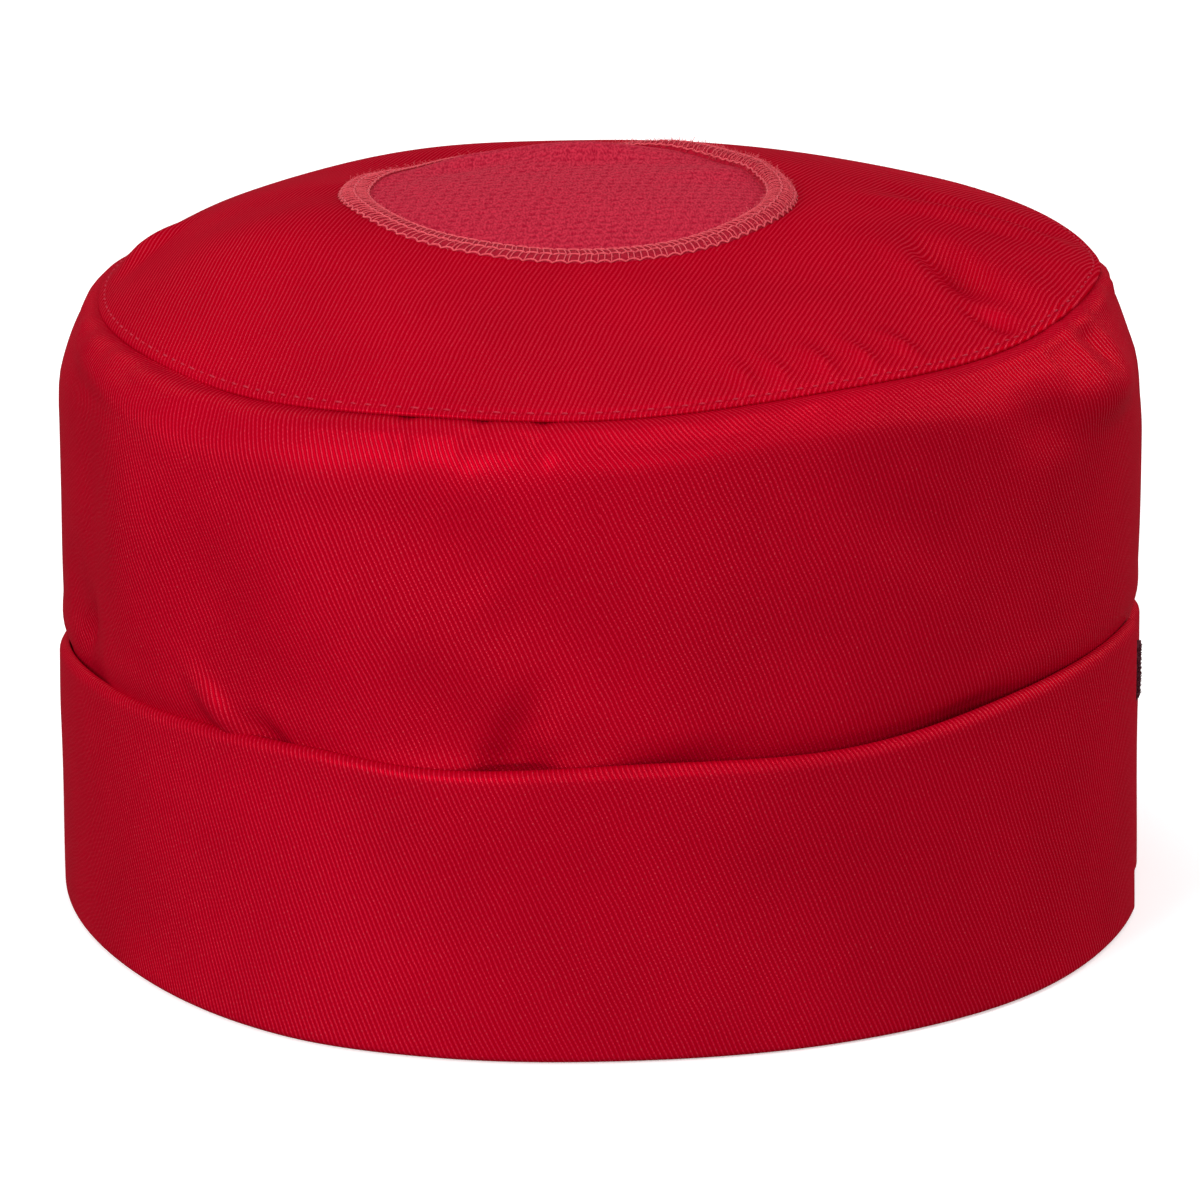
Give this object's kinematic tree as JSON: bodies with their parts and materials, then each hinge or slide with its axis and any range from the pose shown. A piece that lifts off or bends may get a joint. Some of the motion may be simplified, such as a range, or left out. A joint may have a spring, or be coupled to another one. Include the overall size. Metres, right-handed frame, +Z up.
{
  "type": "chef hat",
  "caption": "Low pillbox chef hat of red twill: a soft round-shouldered wall, a domed top with a round knit vent, and a turned-up cuff that laps and closes at the side.",
  "frame": {"origin": "on the surface that the rim rests on, under the middle of the hat", "axes": "+Z up from the rim to the top, -Y the front, +X the side where the cuff closes"},
  "size_m": [0.1886, 0.1912, 0.1243],
  "materials": {
    "twill": "red cotton-blend twill, matt, with fine slanting ribs",
    "knit": "red open polyester knit, matt, slightly paler than the twill",
    "thread": "red fuzzy serging thread",
    "tape": "dark maroon fuzzy loop tape"
  },
  "bodies": {
    "root": {"side_wall": "twill", "crown_top": "twill", "cuff": "twill", "mesh_vent": "knit", "vent_seam": "thread", "closure_tape": "tape"}
  },
  "joints": []
}
